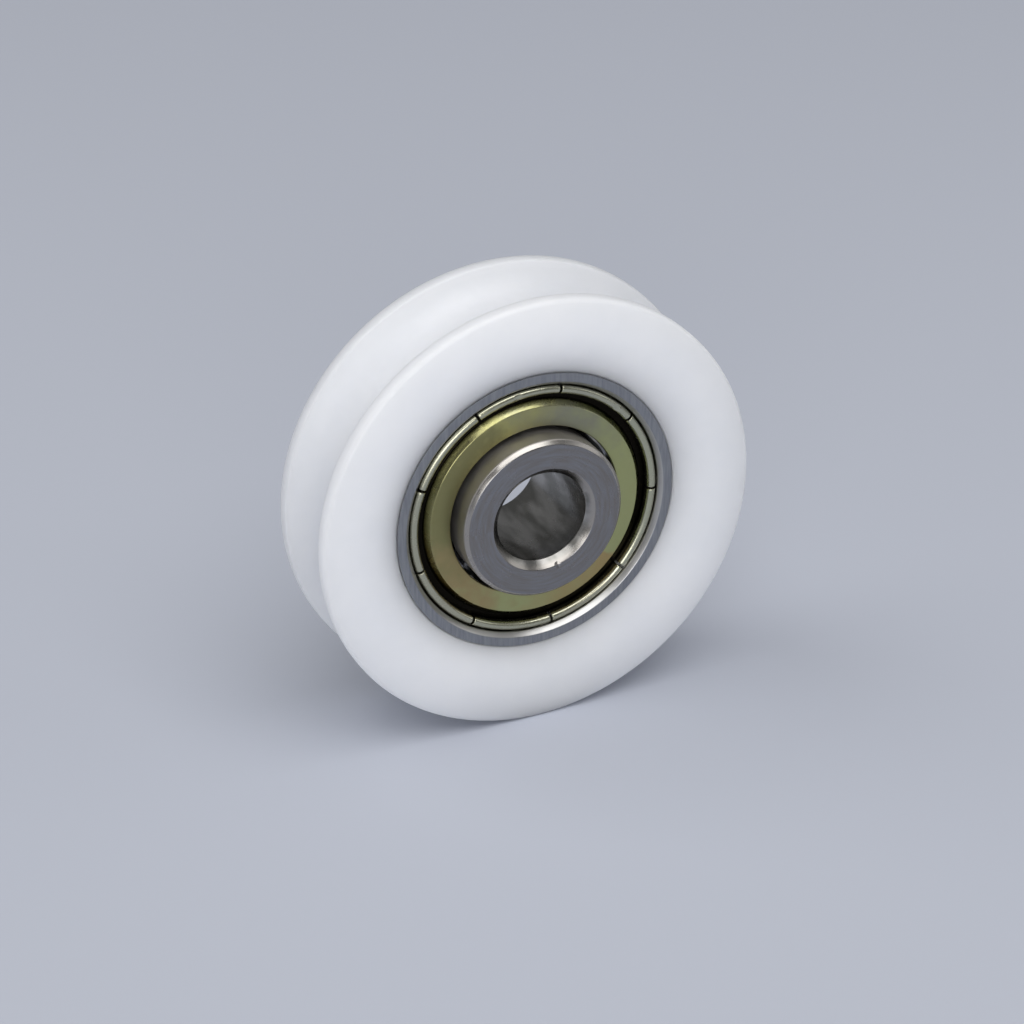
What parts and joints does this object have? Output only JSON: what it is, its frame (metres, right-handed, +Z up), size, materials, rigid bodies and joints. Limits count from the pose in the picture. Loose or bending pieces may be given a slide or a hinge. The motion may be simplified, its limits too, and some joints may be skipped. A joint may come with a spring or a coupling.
{
  "type": "grooved pulley wheel",
  "caption": "White plastic wheel with a round-bottomed cord groove, moulded around a shielded ball bearing whose wide inner ring sits on an axle.",
  "frame": {"origin": "centre of the bore, midway between the two hub faces", "axes": "+Y along the axle line, from the pictured front face at -Y to the rear face; +Z up with the axle level, as the wheel stands in the picture; +X to the right seen from the front"},
  "size_m": [0.029, 0.0082, 0.029],
  "materials": {
    "white_plastic": "as moulded, satin",
    "bearing_steel": "ground",
    "shield_zinc": "pressed sheet with yellow zinc plating",
    "cage_steel": "pressed sheet",
    "ball_steel": "polished"
  },
  "bodies": {
    "hub": {"inner_ring": "bearing_steel"},
    "wheel": {"pulley_wheel": "white_plastic", "outer_ring": "bearing_steel", "shield_front": "shield_zinc", "shield_rear": "shield_zinc"},
    "cage": {"cage_front": "cage_steel", "cage_rear": "cage_steel", "cage_rivets": "cage_steel"},
    "ball_1": {"ball_1": "ball_steel"},
    "ball_2": {"ball_2": "ball_steel"},
    "ball_3": {"ball_3": "ball_steel"},
    "ball_4": {"ball_4": "ball_steel"},
    "ball_5": {"ball_5": "ball_steel"},
    "ball_6": {"ball_6": "ball_steel"}
  },
  "joints": [
    {"name": "wheel_spin", "type": "hinge", "parent": "hub", "child": "wheel", "pos_m": [0, 0, 0], "axis": [0, 1, 0], "continuous": true},
    {"name": "cage_spin", "type": "hinge", "parent": "hub", "child": "cage", "pos_m": [0, 0, 0], "axis": [0, 1, 0], "continuous": true},
    {"name": "ball_1_roll", "type": "hinge", "parent": "cage", "child": "ball_1", "pos_m": [0, 0, 0.00625], "axis": [0, 1, 0], "continuous": true},
    {"name": "ball_2_roll", "type": "hinge", "parent": "cage", "child": "ball_2", "pos_m": [-0.00541, 0, 0.00313], "axis": [0, 1, 0], "continuous": true},
    {"name": "ball_3_roll", "type": "hinge", "parent": "cage", "child": "ball_3", "pos_m": [-0.00541, 0, -0.00313], "axis": [0, 1, 0], "continuous": true},
    {"name": "ball_4_roll", "type": "hinge", "parent": "cage", "child": "ball_4", "pos_m": [0, 0, -0.00625], "axis": [0, 1, 0], "continuous": true},
    {"name": "ball_5_roll", "type": "hinge", "parent": "cage", "child": "ball_5", "pos_m": [0.00541, 0, -0.00313], "axis": [0, 1, 0], "continuous": true},
    {"name": "ball_6_roll", "type": "hinge", "parent": "cage", "child": "ball_6", "pos_m": [0.00541, 0, 0.00313], "axis": [0, 1, 0], "continuous": true}
  ],
  "couplings": [
    {"joint": "cage_spin", "follows": "wheel_spin", "ratio": 0.64},
    {"joint": "ball_1_roll", "follows": "wheel_spin", "ratio": 1.6457},
    {"joint": "ball_2_roll", "follows": "wheel_spin", "ratio": 1.6457},
    {"joint": "ball_3_roll", "follows": "wheel_spin", "ratio": 1.6457},
    {"joint": "ball_4_roll", "follows": "wheel_spin", "ratio": 1.6457},
    {"joint": "ball_5_roll", "follows": "wheel_spin", "ratio": 1.6457},
    {"joint": "ball_6_roll", "follows": "wheel_spin", "ratio": 1.6457}
  ]
}
